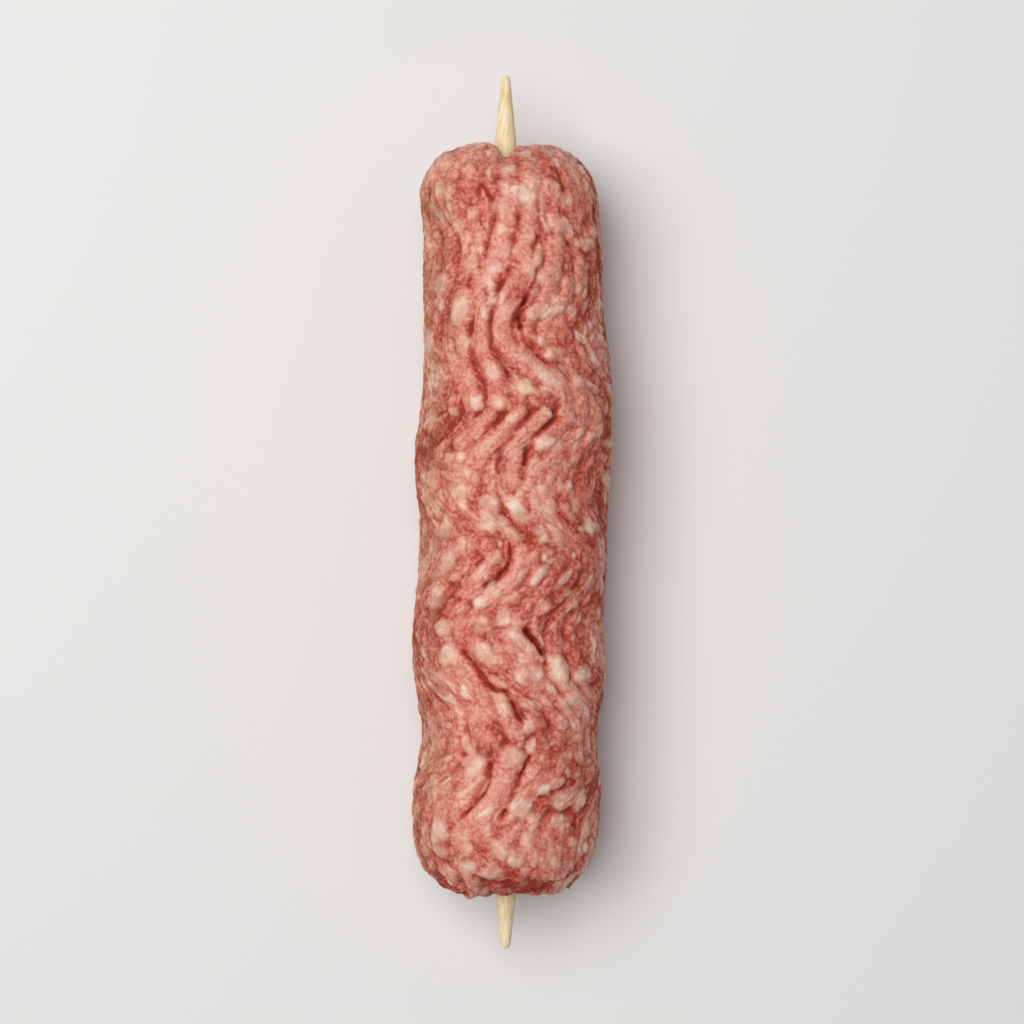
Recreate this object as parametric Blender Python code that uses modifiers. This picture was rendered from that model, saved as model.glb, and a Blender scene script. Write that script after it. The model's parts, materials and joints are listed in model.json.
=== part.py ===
"""A raw kofta skewer: a log of wavy mince strands pressed round one bamboo stick.

It lies on its flattened underside. +Y runs along the stick to its far tip, +X is to the right and +Z is up.
The origin is on the floor, under the middle of the whole. Lengths are in metres.
"""

import math

import bmesh
import bpy
import numpy as np

MM = 0.001

# The bamboo stick
STICK_LENGTH = 150 * MM
STICK_RADIUS = 1.9 * MM
TIP_RADIUS = 0.75 * MM
TIP_ROUNDING = 0.2 * MM
FAR_TAPER = 11.2 * MM
NEAR_TAPER = 9.3 * MM
TAPER_EASE = 4 * MM
TAPER_SHOULDER = 0.96 * STICK_RADIUS
STICK_HEIGHT = 14.3 * MM
STICK_SIDES = 32
STICK_GAP = 0.3 * MM

# The log of mince
FAR_END = 63.0 * MM
NEAR_END = -64.9 * MM
FAR_CAP = 13 * MM
NEAR_CAP = 12 * MM
CAP_SQUARENESS = 2.9
RISE = 15.0 * MM
DROP = 15.2 * MM
TOP_SQUARENESS = 2.1
UNDERSIDE_SQUARENESS = 2.6
MEAN_RADIUS = 15.8 * MM

# Places along the log, then its half width and the drift of its middle off the stick there
WIDTH_PLACES = np.array((-65, -47, -38, -21, -8, 10, 38, 63)) * MM
HALF_WIDTHS = np.array((15.5, 16.1, 15.3, 16.6, 16.1, 16.8, 15.4, 15.2)) * MM
DRIFT_PLACES = np.array((-56, -34, -22, -5, 19, 41, 63)) * MM
DRIFTS = np.array((0.0, 0.8, 0.3, 1.3, 1.6, 1.4, 0.3)) * MM

# The strands run along the log and fold from side to side: where each fold turns, and how far right it has gone
FOLD_PLACES = np.array((-66, -53, -37, -20, -5, 6, 20, 31, 42, 54, 63)) * MM
FOLD_SHIFTS = np.array((-1.0, -4.6, 4.8, -3.8, 3.4, -3.4, 3.9, -2.6, 2.4, -0.6, 0.0)) * MM
FOLD_SLANT = 2.6 * MM
FOLD_SLANT_TURN = 0.6

# Each strand's width, the way that it wanders between its neighbours, and how far it stands out
STRANDS = 25
COLUMNS_PER_STRAND = 4
NARROWEST_STRAND, WIDEST_STRAND = 0.7, 1.3
STRAND_WANDER = 0.5 * MM
WANDER_WAVELENGTHS = (26 * MM, 15 * MM)
GROOVE_DEPTH = 0.95 * MM
GROOVE_SECTION = np.array((1.0, 0.2, 0.0, 0.2))
GROOVE_OPENNESS = 0.5
GROOVE_VARIETY = 0.7
GROOVE_WAVELENGTHS = (37 * MM, 19 * MM)
FLANK_GROOVES = 0.25
FLANK_FROM, FLANK_TO = 0.3, 0.9
STRAND_LIFT = 0.34 * MM
LIFT_WAVELENGTHS = (41 * MM, 23 * MM, 14 * MM)
LUMP_HEIGHT = 0.38 * MM

# The underside is pressed smooth over this part of the log's depth
PRESSED_FROM, PRESSED_FULLY = 0.72, 0.9

# The ends: a notch over the stick at the far one, lobes beside the stick at both, and short lumps over each
NOTCH_DEPTH = 2.5 * MM
NOTCH_WIDTH = 1.4 * MM
NOTCH_START, NOTCH_FULL = -1.0 * MM, 2.0 * MM
DIMPLE_DEPTH = 1.2 * MM
DIMPLE_WIDTH = 3.4 * MM
LOBE_WIDTH = 4.2 * MM
FAR_LOBES = ((-4.6 * MM, 0.2 * MM), (6.8 * MM, 0.2 * MM))
NEAR_LOBES = ((-8.0 * MM, 1.0 * MM), (7.4 * MM, 0.8 * MM))
END_LUMP_HEIGHT = 0.45 * MM
FAR_LUMPINESS = 0.45
END_LUMP_SPACINGS = (7.0 * MM, 5.6 * MM, 4.6 * MM)
GROOVES_START, GROOVES_FULL = 0.75, 1.0

# Rings of points on each cap and along the log between them
CAP_RINGS = 8
BODY_RINGS = 38
RINGS = 2 * CAP_RINGS + BODY_RINGS
COLUMNS = STRANDS * COLUMNS_PER_STRAND

MINCE_COLOUR = (0.62, 0.21, 0.16, 1.0)
MINCE_ROUGHNESS = 0.45
BAMBOO_COLOUR = (0.86, 0.69, 0.42, 1.0)
BAMBOO_ROUGHNESS = 0.6


def clear_scene():
    for thing in list(bpy.data.objects):
        bpy.data.objects.remove(thing, do_unlink=True)


def finish(name, colour, roughness):
    """A plain material of that colour."""
    material = bpy.data.materials.new(name)
    material.use_nodes = True
    shader = material.node_tree.nodes["Principled BSDF"]
    shader.inputs["Base Color"].default_value = colour
    shader.inputs["Roughness"].default_value = roughness
    shader.inputs["Metallic"].default_value = 0.0
    return material


def smooth_step(start, stop, value):
    """0 below start and 1 above stop, with a smooth rise between them."""
    share = np.clip((value - start) / (stop - start), 0, 1)
    return share * share * (3 - 2 * share)


def eased(places, values, at, passes=1):
    """Values that pass smoothly from one place to the next, level at each place, and steeper with more passes."""
    place = np.clip(at, places[0], places[-1])
    step = np.clip(np.searchsorted(places, place, side="right") - 1, 0, len(places) - 2)
    share = (place - places[step]) / (places[step + 1] - places[step])
    for _ in range(passes):
        share = smooth_step(0, 1, share)
    return values[step] + (values[step + 1] - values[step]) * share


def power(base, exponent):
    """A power that keeps its base's sign, for the sides of a superellipse."""
    return np.sign(base) * np.abs(base) ** exponent


def bell(distance, width):
    return np.exp(-((distance / width) ** 2))


def lumps(angle, along):
    """Soft unevenness of a hand-shaped log, from -1 to 1, which closes on itself round the log."""
    draw = np.random.default_rng(7)
    waves = 9
    total = np.zeros_like(along)
    for _ in range(waves):
        turns = draw.integers(-3, 4)
        wavelength = draw.uniform(18, 48) * MM
        phase = draw.uniform(0, math.tau)
        total += np.sin(turns * angle + math.tau * along / wavelength + phase)
    return total / math.sqrt(2 * waves)


def each_strand_along(seed, wavelengths, strand, along):
    """Waves from -1 to 1 along the log, with phases of their own for each strand."""
    phases = np.random.default_rng(seed).uniform(0, math.tau, (len(wavelengths), STRANDS))
    total = np.zeros_like(along)
    for phase, wavelength in zip(phases, wavelengths):
        total += np.sin(math.tau * along / wavelength + phase[strand])
    return total / len(wavelengths)


def groove_directions():
    """Direction round the log of each groove before it folds, for strands of uneven width."""
    widths = np.random.default_rng(3).uniform(NARROWEST_STRAND, WIDEST_STRAND, STRANDS)
    return np.concatenate(((0.0,), np.cumsum(widths)[:-1])) / widths.sum() * math.tau


def folded(direction, groove, along, share):
    """Direction round the log that a groove has there, once the strands have folded and wandered."""
    slanted = along + FOLD_SLANT * np.sin(direction + FOLD_SLANT_TURN)
    sideways = eased(FOLD_PLACES, FOLD_SHIFTS, slanted, passes=2)
    sideways += STRAND_WANDER * each_strand_along(5, WANDER_WAVELENGTHS, groove, along)
    return direction - share * sideways / MEAN_RADIUS


def column_directions(column, along, share):
    """Direction round the log of each column of points: one in each groove, and three on the strand beside it."""
    grooves = groove_directions()
    groove = column // COLUMNS_PER_STRAND
    across = (column % COLUMNS_PER_STRAND) / COLUMNS_PER_STRAND
    next_groove = (groove + 1) % STRANDS
    start = folded(grooves[groove], groove, along, share)
    past_the_seam = np.where(next_groove == 0, math.tau, 0.0)
    stop = folded(grooves[next_groove], next_groove, along, share) + past_the_seam
    return start + (stop - start) * across


def ring_profile():
    """Each ring's place along the log, and its share of the full section."""
    turn = np.linspace(0, math.pi / 2, CAP_RINGS + 1)
    spread = np.sin(turn) ** (2 / CAP_SQUARENESS)
    reach = 1 - np.cos(turn) ** (2 / CAP_SQUARENESS)
    near = NEAR_END + NEAR_CAP * reach
    far = FAR_END - FAR_CAP * reach[::-1]
    middle = np.linspace(near[-1], far[0], BODY_RINGS + 1)[1:-1]
    along = np.concatenate((near, middle, far))
    share = np.concatenate((spread, np.ones(BODY_RINGS - 1), spread[::-1]))
    return along, share


def strand_relief(angle, along, share, column):
    """How far the surface stands out or in: lumps, the lift of each strand, and the grooves between them."""
    strand = column // COLUMNS_PER_STRAND
    in_groove = GROOVE_SECTION[column % COLUMNS_PER_STRAND]
    openness = GROOVE_OPENNESS + GROOVE_VARIETY * each_strand_along(11, GROOVE_WAVELENGTHS, strand, along)
    openness = np.clip(openness, 0, 1)
    strands = STRAND_LIFT * each_strand_along(23, LIFT_WAVELENGTHS, strand, along)
    strands -= GROOVE_DEPTH * in_groove * openness
    on_top = FLANK_GROOVES + (1 - FLANK_GROOVES) * smooth_step(FLANK_FROM, FLANK_TO, np.sin(angle))
    strands *= on_top * smooth_step(GROOVES_START, GROOVES_FULL, share)
    return strands + LUMP_HEIGHT * share * lumps(angle, along)


def end_lumps(x, z):
    """Short lumps over the face of an end."""
    wide, middling, close = END_LUMP_SPACINGS
    total = np.sin(math.tau * x / wide + 1.1) * np.sin(math.tau * z / middling + 0.4)
    total += 0.7 * np.sin(math.tau * (x + z) / close)
    return END_LUMP_HEIGHT * total


def mince_points(column, along, share):
    """Points on the log's surface, for their column round it, place along it and share of its full section."""
    angle = column_directions(column, along, share)
    across, upward = np.cos(angle), np.sin(angle)
    relief = strand_relief(angle, along, share, column)
    relief *= 1 - smooth_step(PRESSED_FROM, PRESSED_FULLY, -upward)

    half_width = eased(WIDTH_PLACES, HALF_WIDTHS, along)
    squareness = np.where(upward > 0, TOP_SQUARENESS, UNDERSIDE_SQUARENESS)
    height = np.where(upward > 0, RISE, DROP) * half_width / MEAN_RADIUS
    x = share * half_width * power(across, 2 / squareness) + relief * across
    z = share * height * power(upward, 2 / squareness) + relief * upward
    x = x + eased(DRIFT_PLACES, DRIFTS, along)

    from_stick = np.hypot(x, z)
    far_face = smooth_step(FAR_CAP, 0, FAR_END - along)
    near_face = smooth_step(NEAR_CAP, 0, along - NEAR_END)
    over_stick = smooth_step(NOTCH_START, NOTCH_FULL, z)
    y = along + (near_face - far_face) * DIMPLE_DEPTH * bell(from_stick, DIMPLE_WIDTH)
    y = y - far_face * NOTCH_DEPTH * bell(x, NOTCH_WIDTH) * over_stick
    for middle, size in FAR_LOBES:
        y = y + far_face * size * bell(x - middle, LOBE_WIDTH)
    for middle, size in NEAR_LOBES:
        y = y - near_face * size * bell(x - middle, LOBE_WIDTH)
    y = y + (far_face - near_face) * relief
    y = y + (FAR_LUMPINESS * far_face - near_face) * end_lumps(x, z)

    z = np.maximum(z + STICK_HEIGHT, 0.0)
    return np.stack((x, y, z), axis=-1)


def mince_log():
    """The log, from a sphere whose meridians follow the strands and whose poles are the two ends."""
    mesh = bpy.data.meshes.new("mince")
    model = bmesh.new()
    bmesh.ops.create_uvsphere(model, u_segments=COLUMNS, v_segments=RINGS, radius=1.0)
    sphere = np.array([vertex.co for vertex in model.verts])
    longitude = np.arctan2(sphere[:, 1], sphere[:, 0]) % math.tau
    latitude = np.arccos(np.clip(-sphere[:, 2], -1, 1))
    column = np.rint(longitude / math.tau * COLUMNS).astype(int) % COLUMNS
    ring = np.rint(latitude / math.pi * RINGS).astype(int)

    places, shares = ring_profile()
    for vertex, point in zip(model.verts, mince_points(column, places[ring], shares[ring])):
        vertex.co = point
    bmesh.ops.recalc_face_normals(model, faces=model.faces)
    model.to_mesh(mesh)
    model.free()
    log = bpy.data.objects.new("mince", mesh)
    mesh.shade_smooth()
    mesh.materials.append(finish("raw_mince", MINCE_COLOUR, MINCE_ROUGHNESS))
    return log


def stick_outline():
    """Radius and place of each point along the stick's side, from the far tip to the near one."""
    half = STICK_LENGTH / 2
    return (
        (0.0, half),
        (TIP_RADIUS - TIP_ROUNDING, half),
        (TIP_RADIUS, half - TIP_ROUNDING),
        (TAPER_SHOULDER, half - FAR_TAPER),
        (STICK_RADIUS, half - FAR_TAPER - TAPER_EASE),
        (STICK_RADIUS, NEAR_TAPER + TAPER_EASE - half),
        (TAPER_SHOULDER, NEAR_TAPER - half),
        (TIP_RADIUS, TIP_ROUNDING - half),
        (TIP_RADIUS - TIP_ROUNDING, -half),
        (0.0, -half),
    )


def bamboo_stick():
    """The stick, turned about its own length and laid along +Y."""
    mesh = bpy.data.meshes.new("stick")
    outline = [(radius, 0.0, place) for radius, place in stick_outline()]
    steps = [(i, i + 1) for i in range(len(outline) - 1)]
    mesh.from_pydata(outline, steps, [])
    stick = bpy.data.objects.new("stick", mesh)
    turning = stick.modifiers.new("turning", "SCREW")
    turning.axis = "Z"
    turning.steps = turning.render_steps = STICK_SIDES
    turning.use_merge_vertices = True
    turning.merge_threshold = 0.01 * MM
    turning.use_smooth_shade = True
    stick.rotation_euler = (-math.pi / 2, 0, 0)
    stick.location = (0, 0, STICK_HEIGHT)
    mesh.materials.append(finish("bamboo", BAMBOO_COLOUR, BAMBOO_ROUGHNESS))
    return stick


def stick_tunnel():
    """The cutter for the hole that the stick fills, a little wider than the stick."""
    mesh = bpy.data.meshes.new("stick_tunnel")
    model = bmesh.new()
    radius = STICK_RADIUS + STICK_GAP
    bmesh.ops.create_cone(
        model, cap_ends=True, segments=STICK_SIDES, radius1=radius, radius2=radius, depth=STICK_LENGTH
    )
    model.to_mesh(mesh)
    model.free()
    cutter = bpy.data.objects.new("stick_tunnel", mesh)
    cutter.rotation_euler = (-math.pi / 2, 0, 0)
    cutter.location = (0, 0, STICK_HEIGHT)
    cutter.hide_render = True
    cutter.display_type = "WIRE"
    return cutter


def middle_across(log):
    """The middle of the log from side to side."""
    across = [vertex.co.x for vertex in log.data.vertices]
    return (min(across) + max(across)) / 2


def build():
    clear_scene()
    pieces = bpy.data.collections.new("kofta_skewer")
    cutters = bpy.data.collections.new("cutters")
    bpy.context.scene.collection.children.link(pieces)
    bpy.context.scene.collection.children.link(cutters)

    log, stick, cutter = mince_log(), bamboo_stick(), stick_tunnel()
    whole = bpy.data.objects.new("kofta_skewer", None)
    for thing in (log, stick, whole):
        pieces.objects.link(thing)
    cutters.objects.link(cutter)
    for thing in (log, stick, cutter):
        thing.parent = whole
    whole.location.x = -middle_across(log)

    hole = log.modifiers.new("stick_hole", "BOOLEAN")
    hole.operation = "DIFFERENCE"
    hole.object = cutter


build()
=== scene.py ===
"""The looks of a raw kofta skewer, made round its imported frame.

A log of mince is pressed by hand round a bamboo stick. It lies on a pale floor, seen from straight above.
Lengths are in metres. +Y runs along the stick to its far tip, +X is to the right and +Z is up.
"""

import math

import itertools
import json
from types import SimpleNamespace

import bpy
import numpy as np
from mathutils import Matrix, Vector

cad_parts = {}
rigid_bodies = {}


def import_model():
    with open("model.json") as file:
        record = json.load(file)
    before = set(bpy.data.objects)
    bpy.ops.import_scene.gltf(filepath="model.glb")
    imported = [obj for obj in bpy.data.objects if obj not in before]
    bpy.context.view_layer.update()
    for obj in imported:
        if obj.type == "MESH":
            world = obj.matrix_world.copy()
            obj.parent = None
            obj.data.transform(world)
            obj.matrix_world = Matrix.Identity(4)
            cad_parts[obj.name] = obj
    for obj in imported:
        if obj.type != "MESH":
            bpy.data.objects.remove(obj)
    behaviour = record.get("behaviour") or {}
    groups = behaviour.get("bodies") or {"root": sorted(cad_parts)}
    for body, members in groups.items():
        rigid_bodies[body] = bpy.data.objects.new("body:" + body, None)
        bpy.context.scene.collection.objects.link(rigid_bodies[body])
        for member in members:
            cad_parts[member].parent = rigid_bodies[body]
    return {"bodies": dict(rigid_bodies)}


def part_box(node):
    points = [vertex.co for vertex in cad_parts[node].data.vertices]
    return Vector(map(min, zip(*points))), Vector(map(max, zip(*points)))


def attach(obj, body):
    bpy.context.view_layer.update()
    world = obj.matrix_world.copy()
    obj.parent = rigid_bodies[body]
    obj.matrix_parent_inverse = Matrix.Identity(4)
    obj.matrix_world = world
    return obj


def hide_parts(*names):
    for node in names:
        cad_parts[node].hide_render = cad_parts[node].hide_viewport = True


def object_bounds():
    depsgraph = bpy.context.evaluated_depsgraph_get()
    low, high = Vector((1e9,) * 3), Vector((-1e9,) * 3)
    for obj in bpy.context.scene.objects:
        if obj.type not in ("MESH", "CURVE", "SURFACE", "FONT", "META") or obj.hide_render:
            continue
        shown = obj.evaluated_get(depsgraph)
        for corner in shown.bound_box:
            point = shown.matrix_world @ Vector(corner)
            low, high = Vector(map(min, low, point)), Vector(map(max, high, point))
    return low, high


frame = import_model()
cad_low, cad_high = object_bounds()
(BODY,) = frame["bodies"]

MM = 0.001

# The stick, as the frame has it
STICK_LOW, STICK_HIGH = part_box("stick")
STICK_MIDDLE = (STICK_LOW + STICK_HIGH) / 2
STICK_LENGTH = STICK_HIGH.y - STICK_LOW.y
STICK_RADIUS = (STICK_HIGH.x - STICK_LOW.x) / 2
TIP_RADIUS = 0.75 * MM
TIP_ROUNDING = 0.2 * MM
FAR_TAPER = 11.2 * MM
NEAR_TAPER = 9.3 * MM
TAPER_EASE = 4 * MM
TAPER_SHOULDER = 0.96 * STICK_RADIUS

# The log's outline, with the same sizes as in the frame
FAR_END = 63.0 * MM
NEAR_END = -64.9 * MM
FAR_CAP = 13 * MM
NEAR_CAP = 12 * MM
CAP_SQUARENESS = 2.9
RISE = 15.0 * MM
DROP = 15.2 * MM
TOP_SQUARENESS = 2.1
UNDERSIDE_SQUARENESS = 2.6
MEAN_RADIUS = 15.8 * MM
WIDTH_PLACES = np.array((-65, -47, -38, -21, -8, 10, 38, 63)) * MM
HALF_WIDTHS = np.array((15.5, 16.1, 15.3, 16.6, 16.1, 16.8, 15.4, 15.2)) * MM
DRIFT_PLACES = np.array((-56, -34, -22, -5, 19, 41, 63)) * MM
DRIFTS = np.array((0.0, 0.8, 0.3, 1.3, 1.6, 1.4, 0.3)) * MM
LUMP_HEIGHT = 0.38 * MM
LUMP_WAVES = 9
LUMP_WAVELENGTHS = (18 * MM, 48 * MM)
PRESSED_FROM, PRESSED_FULLY = 0.72, 0.9

# The ends: a dimple round the stick, a notch over it at the far one, which is shallower higher up, lobes
# beside the stick, and short lumps over each
NOTCH_DEPTH = 3.0 * MM
NOTCH_WIDTH = 1.15 * MM
NOTCH_START, NOTCH_FULL = -1.0 * MM, 2.0 * MM
NOTCH_FADES_FROM, NOTCH_FADES_TO = 4 * MM, 11 * MM
NOTCH_FADE = 0.6
DIMPLE_DEPTH = 1.2 * MM
DIMPLE_WIDTH = 3.4 * MM
LOBE_WIDTH = 4.2 * MM
FAR_LOBES = ((2.6 * MM, -0.6 * MM), (6.8 * MM, 0.4 * MM))
NEAR_LOBES = ((-8.0 * MM, 1.0 * MM), (7.4 * MM, 0.8 * MM))
END_LUMP_HEIGHT = 0.45 * MM
FAR_LUMPINESS = 0.45
END_LUMP_SPACINGS = (7.0 * MM, 5.6 * MM, 4.6 * MM)

# Grooves between strands fade out over the end faces, at these shares of the full section
GROOVES_START, GROOVES_FULL = 0.75, 1.0

# Near the near end the strands give way to cobbles, at these distances from it
COBBLES_FROM, COBBLES_FULL = 15 * MM, 8 * MM
STRANDS_LOST = 0.6
COBBLE_SHARE = 0.35

# The strands run along the log and fold from side to side, as in the frame
FOLD_PLACES = np.array((-66, -53, -37, -20, -5, 6, 20, 31, 42, 54, 63)) * MM
FOLD_SHIFTS = np.array((-1.0, -4.6, 4.8, -3.8, 3.4, -3.4, 3.9, -2.6, 2.4, -0.6, 0.0)) * MM
FOLD_SLANT = 2.6 * MM
FOLD_SLANT_TURN = 0.6
STRANDS = 25
NARROWEST_STRAND, WIDEST_STRAND = 0.7, 1.3
STRAND_WANDER = 0.5 * MM
WANDER_WAVELENGTHS = (26 * MM, 15 * MM)

# Columns of points for each strand, with few on the pressed underside, which is this part of a turn from
# +X. Then rings of points on each cap and on the log between them
COLUMNS_ABOVE, COLUMNS_UNDER = 13, 4
UNDER_FROM, UNDER_TO = 0.58, 0.92
CAP_RINGS = 40
BODY_RINGS = 312

# How high up the section the top starts and the flanks end, and where the log is seen from above: not
# under it nor on its end faces
TOP_FROM, TOP_FULLY = 0.6, 0.95
FLANK_FULLY, FLANK_ENDS = 0.1, 0.85
SEEN_FROM, SEEN_FULLY = 0.0, 0.25
FACE_SHARE, RIM_SHARE = 0.3, 0.6

# Each strand's own section and lift, and the paste that fills the grooves between strands. Here and below,
# patches are given as the shortest and the longest wavelength
STRAND_REACH = 0.6
STRAND_ROUNDING = 1.7 * MM
STRAND_LIFT = 0.32 * MM
LIFT_WAVELENGTHS = (41 * MM, 23 * MM, 14 * MM)
BEAD_HEIGHT = 0.12 * MM
BEAD_WAVELENGTHS = (6.1 * MM, 4.3 * MM)
BREAKS_PER_STRAND = 4
BREAK_DEPTH = 0.9 * MM
SHALLOWEST_BREAK = 0.3
BREAK_HALF_LENGTH = 2.2 * MM
PASTE_LEVEL = -0.42 * MM
PASTE_VARIETY = 0.26 * MM
PASTE_PATCHES = (9 * MM, 24 * MM)
PASTE_EASE = 0.12 * MM
FLANK_PASTE = 0.35 * MM
FLANK_RELIEF = 0.65

# How much paler the meat is from strand to strand and from patch to patch, and at the two ends: painted
# shade that darkens the near end and painted light that makes the far end paler
STRAND_TONE = 0.3
STRAND_TONE_WAVELENGTHS = (33 * MM, 17 * MM)
PATCH_TONE = 0.2
TONE_PATCHES = (6 * MM, 16 * MM)
TONE_PATCH_STRETCH = 1.5
NEAR_END_PAINTED_SHADE, NEAR_SHADE_REACH = -0.35, 6 * MM
FAR_END_PAINTED_LIGHT, FAR_LIGHT_REACH = 0.4, 9 * MM

# The near end's upper rim, at these distances from it, has painted shade: it is darker and shows less fat
RIM_FROM, RIM_FULLY = 7 * MM, 2 * MM
RIM_LOW, RIM_HIGH = 0.3, 0.7
RIM_PAINTED_SHADE = -0.55
RIM_FAT_LOST = 0.35
RIM_NODULES_LOST = 0.5

# The left flank and the far end have dried a little in the air
DRIED_FROM, DRIED_FULLY = 0.45, 0.85
DRIED_PATCHES = (3 * MM, 9 * MM)
DRIED_PATCH_STRETCH = 2.0
DRIED_SHARE, DRIED_VARIETY = 0.75, 0.2
DRIED_END_FROM, DRIED_END_FULLY = 9 * MM, 3 * MM
DRIED_END = 0.45

# Grains of muscle and fat that the mince is made of, a little off their places, with painted shade in the
# gaps at their edges
GRAIN_SIZE = 1.75 * MM
GRAIN_STRETCH = 1.15
GRAIN_FOLLOWS_FOLDS = 0.5
GRAIN_HEIGHT = 0.3 * MM
SMEARED_GRAINS = 0.6
GRAIN_EDGE = 0.6
FATTY_SHARE = 0.12
GRAIN_CELLS = 24
GRAIN_WANDER = 0.12 * MM
GRAIN_WANDER_WAVELENGTHS = (1.2 * MM, 3 * MM)
GRAIN_TONE, GRAIN_GAP_SHADE = 0.45, 0.4
GRAINS_FROM, GRAINS_FULL = 0.1, 0.4

# Rounder lumps of fat among them, which even out what they cover
NODULE_SIZE = 2.7 * MM
NODULE_SHARE = 0.36
NODULE_HEIGHT = 0.26 * MM
NODULE_EDGE = 0.6
NODULE_FADE = 0.1
NODULE_TONE, TONE_BETWEEN_NODULES = 0.35, -0.08
LEANEST_NODULE, FATTEST_NODULE = 0.1, 0.5
NODULE_EVENS = 0.4
SMEARED_NODULES = 0.5

# How far a hollow is told from what is round it, in blurring steps round the log and along it
HOLLOW_AROUND, HOLLOW_ALONG = 26, 22

# Strands that lie on top: points of each one's path, as millimetres right of the stick and along it, its
# half width and how far it stands out, also in millimetres
TOP_STRANDS = (
    (((-0.6, 50.0), (-0.6, 46.6), (-1.2, 43.0), (-2.6, 39.6), (-4.2, 38.0)), 1.6, 0.05),
    (((4.0, 49.0), (3.9, 46.4), (2.8, 42.6)), 1.5, 0.0),
    (((8.6, 45.0), (8.4, 41.6), (7.2, 38.8)), 1.6, 0.05),
    (((-6.8, 36.2), (-7.6, 33.9), (-8.7, 30.4)), 1.4, 0.2),
    (((-4.6, 36.0), (-4.1, 33.2), (-4.4, 30.2)), 1.2, 0.1),
    (
        ((4.6, 42.0), (3.4, 40.4), (2.0, 38.8), (0.6, 36.4), (-0.5, 34.2), (-0.9, 31.6), (-0.4, 28.8)),
        1.7,
        0.45,
    ),
    (((-0.4, 28.8), (1.2, 26.2), (3.8, 24.6), (6.4, 23.0), (8.4, 21.2)), 1.7, 0.35),
    (((-4.6, 28.6), (-3.2, 25.6), (-1.6, 22.6), (-1.2, 18.4)), 1.8, 0.3),
    (((-8.6, 25.0), (-6.6, 21.6), (-5.6, 18.0)), 1.7, 0.15),
    (((-2.6, 16.2), (-5.0, 14.0), (-7.6, 11.4)), 1.3, 0.2),
    (((2.4, 16.6), (0.2, 14.2), (-2.4, 11.4), (-4.8, 10.0)), 1.25, 0.25),
    (((6.6, 16.2), (4.2, 14.0), (1.8, 11.4)), 1.25, 0.25),
    (((10.4, 15.6), (8.2, 13.2), (6.2, 11.4)), 1.4, 0.2),
    (((1.5, 9.2), (1.5, 5.2)), 1.6, 0.35),
    (((-8.4, -5.6), (-10.2, -8.4), (-11.2, -11.0), (-12.0, -14.4)), 1.2, 0.25),
    (((-1.6, -7.2), (-4.0, -9.4), (-6.4, -11.8)), 1.1, 0.25),
    (((2.8, -6.6), (3.0, -8.8), (1.2, -11.6), (-1.8, -13.8), (-4.4, -14.6)), 1.5, 0.3),
    (((0.2, -20.4), (2.0, -22.4), (4.6, -24.2)), 1.2, 0.2),
    (((2.6, -20.4), (4.4, -22.3), (6.2, -24.4)), 0.6, 0.3),
    (((-5.0, -22.0), (-3.2, -24.0), (-1.2, -25.2)), 1.6, 0.25),
    (((-9.4, -23.4), (-7.4, -26.0), (-5.0, -29.4), (-4.0, -32.0)), 1.6, 0.15),
    (((-2.2, -27.8), (-0.4, -28.8)), 0.8, 0.25),
    (((-0.6, -31.0), (0.2, -34.0), (1.3, -36.8)), 1.4, 0.3),
    (((-5.2, -33.6), (-4.4, -36.0), (-3.2, -38.2)), 1.9, 0.0),
    (((0.8, -40.4), (-0.2, -43.4), (-1.4, -46.4), (-3.4, -49.2), (-5.6, -52.0), (-7.4, -54.2)), 2.1, 0.45),
    (((-5.2, -41.6), (-5.8, -45.0), (-7.8, -48.0), (-10.6, -50.0)), 1.8, 0.25),
    (((7.4, -43.9), (5.2, -45.6), (3.3, -47.1)), 1.1, 0.15),
)
TOP_STRAND_ROUNDING = 0.36
TOP_STRAND_SHARE = 0.75
TOP_STRAND_CURVE = 0.9
TOP_STRAND_EDGE = (1.1, 0.8)
MOAT_DEPTH = 0.05 * MM
MOAT_PLACE, MOAT_WIDTH = 1.2, 0.2
SMEARED_TONE = 0.18
SMEARING_EVENS = 0.6
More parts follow.
